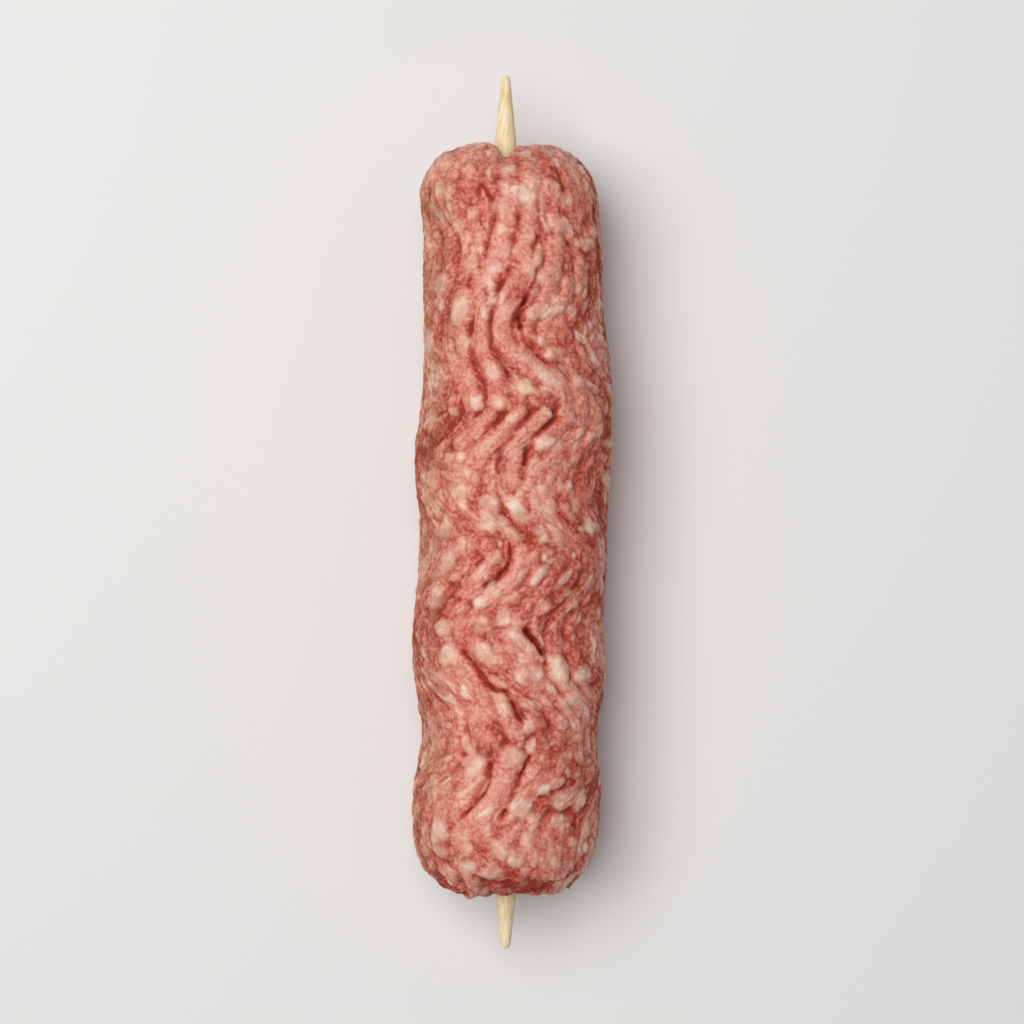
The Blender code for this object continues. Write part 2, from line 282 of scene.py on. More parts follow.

# Crevices where strands part, which the finish darkens with painted shade: points of each one's path, its
# half width and its depth, all in millimetres
CREVICES = (
    (((-4.1, 54.8), (-3.2, 53.4), (-2.2, 52.0)), 0.4, 0.8),
    (((-1.6, 51.0), (-1.9, 48.5), (-2.7, 47.2), (-3.2, 44.4), (-4.1, 40.8)), 0.5, 0.7),
    (((-7.9, 53.3), (-7.2, 52.0), (-6.0, 50.4)), 0.35, 0.65),
    (((2.0, 50.8), (2.1, 47.6), (1.2, 45.0), (0.7, 42.2)), 0.5, 0.6),
    (((5.5, 51.8), (5.7, 49.0), (6.2, 46.8), (4.8, 44.4), (4.3, 42.4)), 0.4, 0.6),
    (((9.0, 56.6), (9.7, 54.0)), 0.6, 0.5),
    (((10.0, 50.4), (10.8, 48.2)), 0.35, 0.3),
    (((12.8, 44.4), (13.9, 42.8), (13.6, 41.4)), 0.3, 0.35),
    (((0.7, 40.6), (-0.5, 38.4), (-1.6, 36.0)), 0.7, 0.6),
    (((5.2, 40.2), (4.8, 38.2), (3.6, 36.2)), 0.35, 0.5),
    (((3.4, 35.6), (2.2, 33.4), (2.1, 32.2), (2.4, 30.8)), 0.6, 1.1),
    (((2.4, 30.8), (3.0, 29.0), (4.0, 27.5), (5.7, 25.8), (7.3, 24.8)), 0.4, 0.7),
    (((-1.9, 34.0), (-2.6, 31.6), (-2.9, 29.2), (-2.4, 26.6), (-0.7, 24.6), (0.2, 23.2)), 0.35, 0.8),
    (((0.2, 23.2), (0.8, 21.6), (1.1, 18.2)), 0.35, 0.3),
    (((-6.1, 31.6), (-6.0, 28.2), (-6.1, 25.8), (-5.0, 23.4), (-3.6, 21.2), (-3.4, 18.8)), 0.35, 0.6),
    (((11.4, 30.2), (13.3, 28.0), (14.4, 25.4), (15.3, 23.4)), 0.25, 0.4),
    (((0.1, 16.4), (-1.9, 14.7), (-3.8, 12.8)), 0.4, 0.5),
    (((4.4, 16.6), (2.2, 14.4), (0.5, 12.0), (-1.0, 10.2)), 0.4, 0.5),
    (((8.8, 15.7), (6.4, 13.8), (4.0, 12.2), (2.7, 10.9)), 0.4, 0.35),
    (((11.5, 14.8), (9.3, 12.6), (8.0, 11.0)), 0.35, 0.25),
    (((-0.9, 9.8), (-1.0, 8.9)), 0.6, 1.4),
    (((-1.3, 7.8), (-1.3, 6.6)), 0.35, 0.8),
    (((3.3, 10.8), (3.5, 9.4), (3.0, 7.4), (2.8, 5.6)), 0.4, 1.2),
    (((-1.0, 2.6), (-0.6, 0.8), (-0.1, -0.6)), 0.25, 0.5),
    (((4.0, 1.1), (4.0, 0.3)), 0.5, 0.5),
    (((-3.7, -7.7), (-5.2, -9.3), (-6.6, -11.0)), 0.3, 0.7),
    (((0.6, -5.0), (0.8, -7.2), (0.4, -9.0), (-0.8, -10.0), (-1.7, -11.3), (-3.4, -12.0)), 0.4, 1.0),
    (((-9.4, -12.1), (-8.9, -12.1)), 0.45, 0.7),
    (((9.0, -16.4), (7.6, -16.9), (5.8, -17.8)), 0.4, 0.5),
    (((3.7, -19.8), (4.9, -21.2), (6.2, -23.4)), 0.9, 1.2),
    (((-2.6, -18.5), (-2.3, -19.3), (0.8, -19.4)), 0.25, 0.45),
    (((-7.2, -23.2), (-5.4, -25.5), (-3.6, -27.4), (-2.4, -29.3), (-1.2, -30.0), (-0.1, -29.8)), 0.35, 0.9),
    (((-0.1, -29.8), (1.1, -31.7), (2.0, -33.7), (2.8, -35.1)), 0.35, 0.9),
    (((9.4, -28.6), (10.4, -28.2), (11.0, -27.4)), 0.25, 0.45),
    (((-4.8, -39.8), (-3.4, -40.8), (-1.9, -39.6), (-0.4, -38.3)), 0.4, 0.7),
    (((-2.6, -41.8), (-2.7, -45.2), (-3.8, -47.1), (-5.2, -48.4), (-7.2, -50.8)), 0.4, 0.9),
    (((4.1, -40.7), (3.0, -43.0), (2.1, -45.1), (1.4, -46.8), (0.4, -48.9), (-1.0, -51.0)), 0.35, 1.1),
    (((-12.0, -57.2), (-10.8, -58.0), (-9.4, -58.4)), 0.3, 0.5),
    # A shadow below the fat piece at 6.4, -46.1, cut as a crevice and painted as shade
    (((5.8, -47.4), (6.8, -47.3)), 0.35, 0.6),
    (((13.6, -49.2), (12.6, -50.9)), 0.3, 0.5),
    (((11.4, -50.2), (9.4, -50.1), (7.2, -49.8)), 0.25, 0.35),
    # Painted shade along the near end's rim, cut as a crevice
    (((-11.4, -62.0), (-8.8, -63.0), (-6.4, -63.1)), 0.3, 0.5),
    (((-2.0, -61.6), (1.0, -61.7), (4.0, -61.5), (6.6, -61.9)), 0.35, 0.45),
    (((13.8, -57.5), (12.0, -59.8), (9.8, -61.2), (7.0, -62.2), (4.6, -62.9)), 0.5, 0.42),
    (((-15.8, -20.8), (-14.9, -22.8), (-14.1, -24.6)), 0.25, 0.4),
    (((-14.5, -26.6), (-13.0, -29.6), (-10.6, -31.9), (-9.2, -33.4)), 0.25, 0.4),
)
CREVICE_WIDTH = 0.75
CREVICE_WANDER = 0.1 * MM
CREVICE_MEAN, CREVICE_VARIETY = 0.85, 0.35
SHALLOWEST_CREVICE, DEEPEST_CREVICE = 0.3, 1.3
RAGGED_WAVELENGTHS = (1.6 * MM, 4 * MM)
# Painted shade beside each crevice: how much it darkens the meat, and how far it reaches in crevice widths
CREVICE_SHADE_TONE, CREVICE_SHADE_WIDTH = -0.35, 2.6

# Thin pale threads of membrane over the flanks: points of each one's path, in millimetres
THREADS = (
    ((-14.0, 24.4), (-13.1, 22.2), (-12.6, 19.6)),
    ((-12.6, 52.0), (-11.6, 50.4), (-10.8, 49.0)),
    ((11.8, 30.2), (13.7, 28.2), (14.9, 25.8), (16.2, 23.2)),
    ((14.2, 32.0), (15.4, 30.4), (16.5, 28.6)),
    ((14.3, -51.0), (13.1, -53.8), (12.0, -57.0)),
    ((14.9, -56.2), (14.0, -59.0), (12.5, -60.8), (10.8, -62.5), (8.5, -63.6)),
    ((14.8, -59.8), (13.3, -62.2), (11.7, -63.6), (9.6, -64.3), (7.4, -64.7)),
    ((-15.2, -20.6), (-14.4, -22.6), (-13.5, -24.4)),
    ((-14.0, -26.4), (-12.5, -29.2), (-10.1, -31.4)),
    ((14.4, -20.4), (14.7, -22.8), (14.4, -25.2)),
)
THREAD_HALF_WIDTH = 0.3 * MM
THREAD_HEIGHT = 0.16 * MM
THREAD_WANDER = 0.15 * MM
THREAD_PALENESS = 0.95

# The largest pieces of fat: how far right of the stick and along it, half length and half width in
# millimetres, heading in degrees from +X, and how pale
FAT_PIECES = (
    (-10.1, 59.3, 1.5, 1.3, 30, 0.55),
    (0.3, 57.9, 1.6, 1.1, -30, 0.75),
    (7.6, 54.7, 1.4, 0.7, -35, 0.7),
    (-10.4, 53.7, 1.3, 1.3, 0, 0.7),
    (3.0, 52.9, 1.7, 1.5, -30, 1.0),
    (9.5, 48.1, 1.3, 1.0, 60, 0.5),
    (14.8, 47.4, 1.3, 0.8, 80, 0.5),
    (13.6, 45.0, 1.2, 0.9, -60, 0.5),
    (-5.6, 41.5, 1.1, 1.0, 80, 0.55),
    (-10.6, 38.4, 2.0, 1.0, 75, 0.8),
    (-7.5, 34.0, 2.4, 1.3, 75, 0.65),
    (5.8, 33.4, 2.1, 1.3, 15, 0.55),
    (-13.2, 29.3, 2.5, 0.8, 90, 0.95),
    (-7.1, 28.1, 1.8, 1.1, 80, 0.5),
    (8.3, 26.4, 1.8, 0.9, 10, 0.5),
    (-2.2, 23.6, 1.6, 1.0, -60, 0.5),
    (6.8, 22.5, 2.2, 0.8, -42, 0.85),
    (12.2, 21.8, 1.0, 0.9, 60, 0.65),
    (3.3, 20.8, 1.3, 1.2, 70, 0.85),
    (-1.3, 18.2, 1.3, 1.1, 80, 0.6),
    (-12.5, 15.6, 1.6, 1.1, 70, 0.6),
    (6.4, 11.4, 1.4, 1.1, 30, 0.65),
    (-12.1, 5.8, 1.4, 0.8, 70, 0.45),
    (17.2, 11.7, 0.9, 0.7, 60, 0.6),
    (17.0, 5.4, 1.3, 0.7, -65, 0.8),
    (-7.4, 3.4, 1.3, 1.1, 45, 0.75),
    (-2.7, 1.6, 1.9, 1.3, 0, 0.8),
    (-2.9, -1.3, 1.8, 1.5, 90, 0.6),
    (1.5, 0.7, 2.7, 1.2, -47, 1.0),
    (-10.2, -3.1, 1.4, 0.9, 70, 0.9),
    (14.0, -2.5, 1.6, 0.8, -65, 1.0),
    (-9.4, -8.0, 2.6, 1.0, 62, 0.7),
    (5.7, -10.4, 2.5, 0.9, 50, 1.0),
    (9.8, -11.4, 1.7, 0.6, 50, 0.65),
    (-14.4, -9.9, 1.9, 0.8, 75, 0.75),
    (-11.6, -14.6, 1.9, 1.2, 70, 0.75),
    (-0.4, -17.4, 1.4, 1.1, 80, 1.0),
    (-4.0, -18.7, 1.5, 1.3, 80, 0.6),
    (-10.5, -19.4, 1.5, 1.2, 10, 0.65),
    (3.0, -21.6, 2.8, 0.8, -40, 0.7),
    (-9.6, -23.9, 1.6, 1.4, 70, 0.7),
    (-4.0, -22.9, 1.5, 1.2, -35, 0.55),
    (4.2, -26.5, 2.1, 1.5, 0, 0.7),
    (8.8, -26.2, 1.9, 1.6, 70, 0.95),
    (12.4, -27.4, 1.5, 1.2, 80, 0.7),
    (-10.9, -27.8, 1.6, 0.9, -40, 0.55),
    (10.2, -31.6, 1.4, 0.9, 20, 0.5),
    (-0.6, -32.0, 1.9, 1.0, -65, 0.5),
    (-14.6, -33.6, 1.3, 0.5, 75, 0.45),
    (3.8, -35.8, 1.2, 1.0, 80, 0.55),
    (-12.4, -36.2, 1.5, 0.6, 80, 0.5),
    (0.6, -40.6, 1.8, 1.5, 20, 0.5),
    (-5.2, -42.2, 2.2, 1.8, 80, 0.65),
    (-13.9, -42.2, 1.6, 0.6, 85, 0.55),
    (-12.3, -45.6, 1.3, 0.7, 75, 0.45),
    (6.4, -46.1, 1.1, 0.8, -10, 1.0),
    (8.6, -45.3, 1.4, 0.9, 30, 0.35),
    (9.3, -48.2, 1.9, 1.4, 0, 0.6),
    (11.0, -47.1, 1.6, 1.0, 10, 0.45),
    (12.6, -48.6, 1.7, 1.1, 65, 0.55),
    (2.4, -49.3, 1.9, 1.7, 80, 0.8),
    (9.4, -51.7, 1.8, 1.0, 5, 0.5),
    (-14.9, -51.0, 1.6, 0.5, 88, 0.45),
    (-11.1, -53.3, 2.1, 1.3, 85, 0.8),
    (-11.0, -56.7, 1.3, 0.9, -30, 0.65),
    (-1.0, -55.9, 1.6, 1.2, -10, 0.6),
    (1.7, -57.7, 1.4, 1.3, 60, 0.6),
    (-6.1, -58.7, 1.8, 1.4, 10, 0.7),
    (-2.6, -59.9, 1.7, 1.1, 0, 0.6),
    (-8.8, -60.5, 1.0, 1.0, 0, 0.5),
    (-5.4, -61.8, 1.2, 1.0, 10, 0.55),
    (-3.8, -63.4, 0.9, 0.5, 10, 0.7),
)
FAT_HEIGHT = 0.34 * MM
FAT_REACH = 1.3
FAT_EDGE = (1.35, 0.6)
FAT_EVENS = 0.6
FAT_WOBBLE = 0.12
FAT_WOBBLE_WAVELENGTHS = (1.5 * MM, 4 * MM)


def smooth_step(start, stop, value):
    """0 at start and 1 at stop, with a smooth rise between them."""
    share = np.clip((value - start) / (stop - start), 0, 1)
    return share * share * (3 - 2 * share)


def eased(places, values, at, passes=1):
    """Values that pass smoothly from place to place, level at each place, and steeper with more passes."""
    place = np.clip(at, places[0], places[-1])
    step = np.clip(np.searchsorted(places, place, side="right") - 1, 0, len(places) - 2)
    share = (place - places[step]) / (places[step + 1] - places[step])
    for _ in range(passes):
        share = smooth_step(0, 1, share)
    return values[step] + (values[step + 1] - values[step]) * share


def power(base, exponent):
    """A power that keeps its base's sign, for the sides of a superellipse."""
    return np.sign(base) * np.abs(base) ** exponent


def bell(distance, width):
    """1 at no distance, and almost 0 at twice the width."""
    return np.exp(-((distance / width) ** 2))


def smooth_top(a, b, ease):
    """The higher of two surfaces, with the line where they meet eased."""
    return (a + b + np.sqrt((a - b) ** 2 + ease * ease)) / 2


def lumps(angle, along):
    """Soft unevenness of a hand-shaped log, from -1 to 1, which closes on itself round the log."""
    draw = np.random.default_rng(7)
    total = np.zeros_like(along)
    for _ in range(LUMP_WAVES):
        turns = draw.integers(-3, 4)
        wavelength = draw.uniform(*LUMP_WAVELENGTHS)
        phase = draw.uniform(0, math.tau)
        total += np.sin(turns * angle + math.tau * along / wavelength + phase)
    return total / math.sqrt(2 * LUMP_WAVES)


def ripple(seed, shortest, longest, points, stretch=1.0, waves=48):
    """Unevenness in space, mostly from -2 to 2, in waves of those lengths or stretched along the log."""
    draw = np.random.default_rng(seed)
    total = np.zeros(points.shape[:-1])
    for _ in range(waves):
        heading = draw.normal(size=3)
        heading /= np.linalg.norm(heading) * draw.uniform(shortest, longest)
        heading[1] /= stretch
        total += np.sin(math.tau * points @ heading + draw.uniform(0, math.tau))
    return total / math.sqrt(waves / 2)


def grains(points, size, seed):
    """Grains packed in space: each point's distance from its grain's edge, and that grain's two draws."""
    draw = np.random.default_rng(seed)
    middles = draw.uniform(0, 1, (GRAIN_CELLS, GRAIN_CELLS, GRAIN_CELLS, 3))
    draws = draw.uniform(0, 1, (GRAIN_CELLS, GRAIN_CELLS, GRAIN_CELLS, 2))
    place = points / (size * np.array((1, GRAIN_STRETCH, 1)))
    cell = np.floor(place).astype(int)
    nearest = np.full(place.shape[:-1], np.inf)
    second = nearest.copy()
    chosen = np.zeros(place.shape[:-1] + (2,))
    for step in itertools.product((-1, 0, 1), repeat=3):
        neighbour = cell + np.array(step)
        x, y, z = np.moveaxis(neighbour % GRAIN_CELLS, -1, 0)
        away = np.linalg.norm(neighbour + middles[x, y, z] - place, axis=-1)
        nearer = away < nearest
        second = np.where(nearer, nearest, np.minimum(second, away))
        chosen = np.where(nearer[..., None], draws[x, y, z], chosen)
        nearest = np.where(nearer, away, nearest)
    return second - nearest, chosen[..., 0], chosen[..., 1]


def each_strand_along(seed, wavelengths, strand, along):
    """Waves from -1 to 1 along the log, with phases of their own for each strand."""
    phases = np.random.default_rng(seed).uniform(0, math.tau, (len(wavelengths), STRANDS))
    total = np.zeros_like(along)
    for phase, wavelength in zip(phases, wavelengths):
        total += np.sin(math.tau * along / wavelength + phase[strand])
    return total / len(wavelengths)


def strand_shares():
    """Where each strand starts round the log and how wide it is, as shares of a turn."""
    widths = np.random.default_rng(3).uniform(NARROWEST_STRAND, WIDEST_STRAND, STRANDS)
    widths /= widths.sum()
    return np.concatenate(((0.0,), np.cumsum(widths)[:-1])), widths


def folded(direction, groove, along, share):
    """Direction round the log that a groove has there, once the strands have folded and wandered."""
    slanted = along + FOLD_SLANT * np.sin(direction + FOLD_SLANT_TURN)
    sideways = eased(FOLD_PLACES, FOLD_SHIFTS, slanted, passes=2)
    sideways += STRAND_WANDER * each_strand_along(5, WANDER_WAVELENGTHS, groove, along)
    return direction - share * sideways / MEAN_RADIUS


def strand_columns():
    """Which strand each column of points belongs to, and how far across that strand it is, from 0 to 1."""
    starts, widths = strand_shares()
    middles = starts + widths / 2
    counts = np.where((middles > UNDER_FROM) & (middles < UNDER_TO), COLUMNS_UNDER, COLUMNS_ABOVE)
    strand = np.repeat(np.arange(STRANDS), counts)
    first = np.repeat(np.cumsum(counts) - counts, counts)
    return strand, (np.arange(len(strand)) - first) / counts[strand]


def column_directions(strand, across, along, share):
    """Direction round the log of each column of points, after and before the strands folded."""
    grooves = strand_shares()[0] * math.tau
    next_strand = (strand + 1) % STRANDS
    past_the_seam = np.where(next_strand == 0, math.tau, 0.0)
    start = folded(grooves[strand], strand, along, share)
    stop = folded(grooves[next_strand], next_strand, along, share) + past_the_seam
    unfolded = grooves[strand] + (grooves[next_strand] + past_the_seam - grooves[strand]) * across
    return start + (stop - start) * across, unfolded


def ring_profile():
    """Each ring's place along the log, and its share of the full section. The first and last are poles."""
    turn = np.linspace(0, math.pi / 2, CAP_RINGS + 1)
    spread = np.sin(turn) ** (2 / CAP_SQUARENESS)
    reach = 1 - np.cos(turn) ** (2 / CAP_SQUARENESS)
    near = NEAR_END + NEAR_CAP * reach
    far = FAR_END - FAR_CAP * reach[::-1]
    middle = np.linspace(near[-1], far[0], BODY_RINGS + 1)[1:-1]
    along = np.concatenate((near, middle, far))
    share = np.concatenate((spread, np.ones(BODY_RINGS - 1), spread[::-1]))
    return along, share


def breaks(strand, along):
    """How far each strand dips where it has parted, at a few places of its own."""
    draw = np.random.default_rng(31)
    places = draw.uniform(NEAR_END, FAR_END, (BREAKS_PER_STRAND, STRANDS))
    depths = draw.uniform(SHALLOWEST_BREAK, 1.0, (BREAKS_PER_STRAND, STRANDS)) * BREAK_DEPTH
    dip = np.zeros_like(along)
    for place, depth in zip(places, depths):
        away = np.clip(np.abs(along - place[strand]) / BREAK_HALF_LENGTH, 0, 1)
        dip += depth[strand] * (1 - away * away) ** 2
    return dip


def strand_heights(here, across, along):
    """Height of the rounded strands: the higher of the strand at each point and its two neighbours."""
    starts, widths = strand_shares()
    place = starts[here] + widths[here] * across
    highest = np.full(along.shape, -np.inf)
    for neighbour in (-1, 0, 1):
        strand = (here + neighbour) % STRANDS
        away = place - starts[strand] - widths[strand] / 2
        away = (away + 0.5) % 1 - 0.5
        roundness = 1 - (away / (STRAND_REACH * widths[strand])) ** 2
        lift = STRAND_LIFT * each_strand_along(23, LIFT_WAVELENGTHS, strand, along)
        lift += BEAD_HEIGHT * each_strand_along(29, BEAD_WAVELENGTHS, strand, along)
        lift -= breaks(strand, along)
        rounding = STRAND_ROUNDING * widths[strand] * STRANDS
        highest = np.maximum(highest, lift + rounding * (np.sqrt(np.clip(roundness, 0, 1)) - 1))
    return highest


def end_lumps(x, z):
    """Short lumps over the face of an end."""
    wide, middling, close = END_LUMP_SPACINGS
    total = np.sin(math.tau * x / wide + 1.1) * np.sin(math.tau * z / middling + 0.4)
    total += 0.7 * np.sin(math.tau * (x + z) / close)
    return END_LUMP_HEIGHT * total


def smooth_path(points):
    """A path with its corners cut twice, in metres."""
    path = np.array(points) * MM
    for _ in range(2):
        start, stop = path[:-1], path[1:]
        cut = np.stack((0.75 * start + 0.25 * stop, 0.25 * start + 0.75 * stop), axis=1)
        path = np.concatenate((path[:1], cut.reshape(-1, 2), path[-1:]))
    return path


def distance_to_path(x, y, points):
    """Distance of each place from a path, seen from above."""
    path = smooth_path(points)
    nearest = np.full(x.shape, np.inf)
    for (ax, ay), (bx, by) in zip(path[:-1], path[1:]):
        dx, dy = bx - ax, by - ay
        length = dx * dx + dy * dy
        if length == 0:
            continue
        share = np.clip(((x - ax) * dx + (y - ay) * dy) / length, 0, 1)
        nearest = np.minimum(nearest, np.hypot(x - ax - share * dx, y - ay - share * dy))
    return nearest


def blurred(field, around, along):
    """A field on the grid, averaged with its neighbours that many times round the log and along it."""
    for _ in range(around):
        field = (np.roll(field, 1, axis=1) + 2 * field + np.roll(field, -1, axis=1)) / 4
    for _ in range(along):
        padded = np.concatenate((field[:1], field, field[-1:]))
        field = (padded[:-2] + 2 * field + padded[2:]) / 4
    return field


def bare_log():
    """The log's plain form on a grid of rings and columns, and what each layer of detail needs to know."""
    places, shares = ring_profile()
    strand_of, place_of = strand_columns()
    column, ring = np.meshgrid(np.arange(len(strand_of)), np.arange(1, len(places) - 1))
    log = SimpleNamespace(strand=strand_of[column], place=place_of[column])
    log.along, log.share = places[ring], shares[ring]
    log.angle, unfolded = column_directions(log.strand, log.place, log.along, log.share)
    log.across, log.upward = np.cos(log.angle), np.sin(log.angle)
    radius = MEAN_RADIUS * log.share
    log.unfolded = np.stack((radius * np.cos(unfolded), log.along, radius * np.sin(unfolded)), axis=-1)

    half_width = eased(WIDTH_PLACES, HALF_WIDTHS, log.along)
    squareness = np.where(log.upward > 0, TOP_SQUARENESS, UNDERSIDE_SQUARENESS)
    height = np.where(log.upward > 0, RISE, DROP) * half_width / MEAN_RADIUS
    log.x = log.share * half_width * power(log.across, 2 / squareness)
    log.z = log.share * height * power(log.upward, 2 / squareness)
    log.drift = eased(DRIFT_PLACES, DRIFTS, log.along)
    log.seen_x = log.x + log.drift

    log.on_top = smooth_step(TOP_FROM, TOP_FULLY, log.upward)
    log.above = smooth_step(SEEN_FROM, SEEN_FULLY, log.upward)
    log.above *= smooth_step(FACE_SHARE, RIM_SHARE, log.share)
    log.cobbled = smooth_step(COBBLES_FROM, COBBLES_FULL, log.along - NEAR_END)
    # The near end's upper rim, where the finish paints shade
    log.near_rim = smooth_step(RIM_FROM, RIM_FULLY, log.along - NEAR_END)
    log.near_rim *= smooth_step(RIM_LOW, RIM_HIGH, log.share * log.upward)
    log.ragged = ripple(67, *RAGGED_WAVELENGTHS, log.unfolded)
    return log


def lay_strands(log):
    """The strands that run all along the log, half sunk in paste, and how pale each is."""
    paste = PASTE_LEVEL + PASTE_VARIETY * ripple(41, *PASTE_PATCHES, log.unfolded)
    paste += FLANK_PASTE * (1 - log.on_top)
    log.relief = smooth_top(strand_heights(log.strand, log.place, log.along), paste, PASTE_EASE)
    log.relief *= smooth_step(GROOVES_START, GROOVES_FULL, log.share) * (1 - STRANDS_LOST * log.cobbled)
    log.relief *= FLANK_RELIEF + (1 - FLANK_RELIEF) * log.on_top
    log.tone = STRAND_TONE * each_strand_along(53, STRAND_TONE_WAVELENGTHS, log.strand, log.along)
    log.tone += PATCH_TONE * ripple(43, *TONE_PATCHES, log.unfolded, TONE_PATCH_STRETCH)
    # Painted shade at the near end and painted light at the far end
    log.tone += NEAR_END_PAINTED_SHADE * smooth_step(NEAR_SHADE_REACH, 0, log.along - NEAR_END)
    log.tone += FAR_END_PAINTED_LIGHT * smooth_step(FAR_LIGHT_REACH, 0, FAR_END - log.along)
    # Painted shade on the near end's upper rim
    log.tone += RIM_PAINTED_SHADE * log.near_rim


def lay_top_strands(log):
    """The strands that lie on top, whose smeared skins are smooth and even."""
    log.smeared = np.zeros_like(log.relief)
    for points, half, stand in TOP_STRANDS:
        away = distance_to_path(log.seen_x, log.along, points) / (half * MM)
        ridge = np.sqrt(np.clip(1 - TOP_STRAND_CURVE * away * away, 0, 1)) - 1
        ridge = TOP_STRAND_SHARE * stand * MM + TOP_STRAND_ROUNDING * half * MM * ridge
        cover = log.above * smooth_step(*TOP_STRAND_EDGE, away)
        log.relief += (ridge - log.relief) * cover
        log.relief -= MOAT_DEPTH * log.above * bell(away - MOAT_PLACE, MOAT_WIDTH)
        log.smeared = np.maximum(log.smeared, cover)
    log.tone += log.smeared * (SMEARED_TONE - SMEARING_EVENS * log.tone)


def cut_crevices(log):
    """Ragged crevices where strands part, with redder meat and painted shade beside them."""
    # How dark each crevice is painted: painted shade in it and beside it
    log.crevice = np.zeros_like(log.relief)
    raggedness = np.clip(CREVICE_MEAN + CREVICE_VARIETY * log.ragged, SHALLOWEST_CREVICE, DEEPEST_CREVICE)
    for points, half, depth in CREVICES:
        away = distance_to_path(log.seen_x, log.along, points) + CREVICE_WANDER * log.ragged
        away /= CREVICE_WIDTH * half * MM
        cut = log.above * bell(away, 1.0) * raggedness
        darkness = min(depth, 1.0)
        log.relief -= depth * MM * cut
        log.crevice = np.maximum(log.crevice, darkness * cut)
        # Painted shade beside the crevice, partly leaner meat
        log.tone += CREVICE_SHADE_TONE * darkness * log.above * bell(away, CREVICE_SHADE_WIDTH)


def set_fat_pieces(log):
    """The largest pieces of fat, pressed half into the meat."""
    log.fat = np.zeros_like(log.relief)
    wobble = FAT_WOBBLE * ripple(47, *FAT_WOBBLE_WAVELENGTHS, log.unfolded)
    for x, y, length, width, heading, paleness in FAT_PIECES:
        turn = math.radians(heading)
        dx, dy = log.seen_x / MM - x, log.along / MM - y
        u = (dx * math.cos(turn) + dy * math.sin(turn)) / length
        v = (dy * math.cos(turn) - dx * math.sin(turn)) / width
        away = np.hypot(u, v) + wobble
        cover = log.above * smooth_step(*FAT_EDGE, away)
        log.fat = np.maximum(log.fat, paleness * cover)
        log.relief -= FAT_EVENS * cover * log.relief
        log.relief += FAT_HEIGHT * log.above * np.sqrt(np.clip(1 - (away / FAT_REACH) ** 2, 0, 1))


def lay_threads(log):
    """The thin threads of membrane."""
    for points in THREADS:
        away = distance_to_path(log.seen_x, log.along, points) + THREAD_WANDER * log.ragged
        thread = log.above * bell(away, THREAD_HALF_WIDTH)
        log.fat = np.maximum(log.fat, THREAD_PALENESS * thread)
        log.relief += THREAD_HEIGHT * thread


def pack_grains(log):
    """Lumps of fat all over the log, and then finer grains of muscle and fat."""
    places = np.stack((log.x, log.along, log.z), axis=-1)
    places += GRAIN_FOLLOWS_FOLDS * (log.unfolded - places)
    places += GRAIN_WANDER * ripple(59, *GRAIN_WANDER_WAVELENGTHS, log.unfolded)[..., None]
    off_pole = smooth_step(GRAINS_FROM, GRAINS_FULL, log.share)

    edge, size_draw, nodule_draw = grains(places, NODULE_SIZE, 97)
    left_out = 1 - NODULE_SHARE - COBBLE_SHARE * log.cobbled
    nodule = smooth_step(0, NODULE_EDGE, edge) * np.clip((nodule_draw - left_out) / NODULE_FADE, 0, 1)
    # Fewer nodules show in the painted shade of the near rim
    nodule *= (1 - SMEARED_NODULES * log.smeared) * (1 - RIM_NODULES_LOST * log.near_rim)
    fattiness = LEANEST_NODULE + (FATTEST_NODULE - LEANEST_NODULE) * size_draw
    log.fat = np.maximum(log.fat, fattiness * nodule)
    log.tone += NODULE_TONE * nodule + TONE_BETWEEN_NODULES
    log.relief -= NODULE_EVENS * nodule * log.relief
    log.relief += NODULE_HEIGHT * nodule * off_pole

    edge, grain_tone, fattiness = grains(places, GRAIN_SIZE, 83)
    inside = np.clip(edge / GRAIN_EDGE, 0, 1)
    inside *= 2 - inside
    log.fat = np.maximum(log.fat, inside * smooth_step(1 - FATTY_SHARE, 1, fattiness))
    # Less fat shows in the painted shade of the near rim
    log.fat *= 1 - RIM_FAT_LOST * log.near_rim
    distinct = 1 - SMEARED_GRAINS * log.smeared
    # Each grain's own tone, and painted shade at its edges
    log.tone += distinct * (GRAIN_TONE * (grain_tone - 0.5) + GRAIN_GAP_SHADE * (inside - 0.75))
    log.relief += GRAIN_HEIGHT * distinct * (inside * (0.5 + 0.5 * grain_tone) - 0.5) * off_pole


def shaped(log):
    """Points of the log with all its relief, its shaped ends and its pressed underside."""
    relief = log.relief + LUMP_HEIGHT * log.share * lumps(log.angle, log.along)
    relief *= 1 - smooth_step(PRESSED_FROM, PRESSED_FULLY, -log.upward)
    x = log.seen_x + relief * log.across
    z = log.z + relief * log.upward
    far_face = smooth_step(FAR_CAP, 0, FAR_END - log.along)
    near_face = smooth_step(NEAR_CAP, 0, log.along - NEAR_END)
    over_stick = smooth_step(NOTCH_START, NOTCH_FULL, z)
    over_stick *= 1 - NOTCH_FADE * smooth_step(NOTCH_FADES_FROM, NOTCH_FADES_TO, z)
    y = log.along + (near_face - far_face) * DIMPLE_DEPTH * bell(np.hypot(x, z), DIMPLE_WIDTH)
    y -= far_face * NOTCH_DEPTH * bell(x, NOTCH_WIDTH) * over_stick
    for middle, size in FAR_LOBES:
        y += far_face * size * bell(x - middle, LOBE_WIDTH)
    for middle, size in NEAR_LOBES:
        y -= near_face * size * bell(x - middle, LOBE_WIDTH)
    y += (far_face - near_face) * relief
    y += (FAR_LUMPINESS * far_face - near_face) * end_lumps(x, z)
    z = np.maximum(z + STICK_MIDDLE.z, 0.0)
    return np.stack((x + STICK_MIDDLE.x, y, z), axis=-1)


